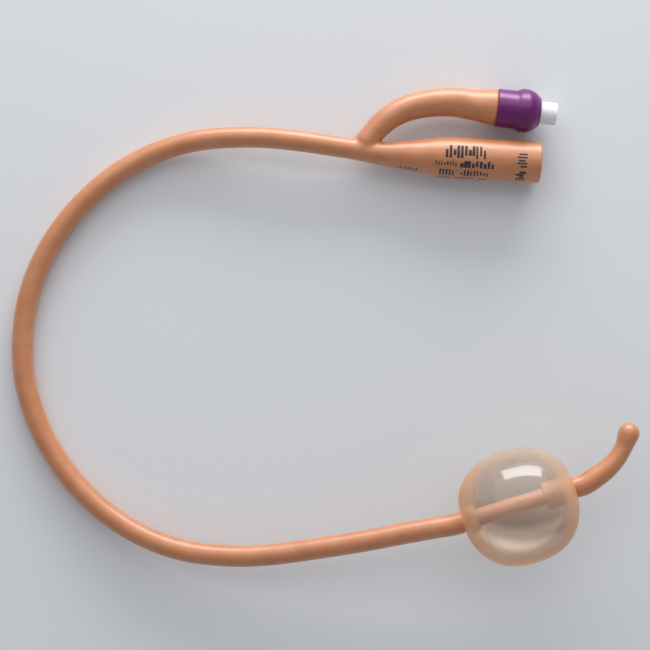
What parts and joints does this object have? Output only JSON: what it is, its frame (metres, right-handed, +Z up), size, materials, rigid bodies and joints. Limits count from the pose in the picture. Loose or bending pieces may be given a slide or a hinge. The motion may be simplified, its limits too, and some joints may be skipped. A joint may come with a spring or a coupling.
{
  "type": "foley urinary catheter",
  "caption": "Two-way latex urinary drainage catheter with curved olive tip, inflated retention balloon, drain funnel and inflation valve with a coloured sleeve",
  "frame": {"origin": "on the table under the middle of the whole catheter as it lies", "axes": "+Z is up from the table; +X runs along the drainage funnel and out of its mouth; +Y points across the table from the balloon's side to the funnel's side"},
  "size_m": [0.1795, 0.1408, 0.0324],
  "materials": {
    "latex": "smooth tan silicone-coated latex, slightly translucent, soft satin gloss",
    "balloon_latex": "thin stretched amber latex membrane, clear in the middle and darker at its ends, glossy",
    "sleeve_latex": "dark purple moulded rubber, satin",
    "valve_plastic": "white injection-moulded plastic, smooth, light gloss",
    "seal_rubber": "black rubber, matt",
    "spring_steel": "drawn stainless spring wire"
  },
  "bodies": {
    "catheter": {"catheter_body": "latex", "retention_balloon": "balloon_latex", "valve_sleeve": "sleeve_latex", "valve_housing": "valve_plastic", "valve_spring": "spring_steel", "valve_retainer": "valve_plastic"},
    "valve_plunger": {"valve_stem": "valve_plastic", "valve_seal": "seal_rubber"}
  },
  "joints": [
    {"name": "valve_stem_slide", "type": "slide", "parent": "catheter", "child": "valve_plunger", "axis": [-0.9981, 0.061, 0], "range_m": [0, 0.0015], "stiffness_N_per_m": 600, "springref_m": -0.0007, "deforming": ["valve_spring"]}
  ]
}
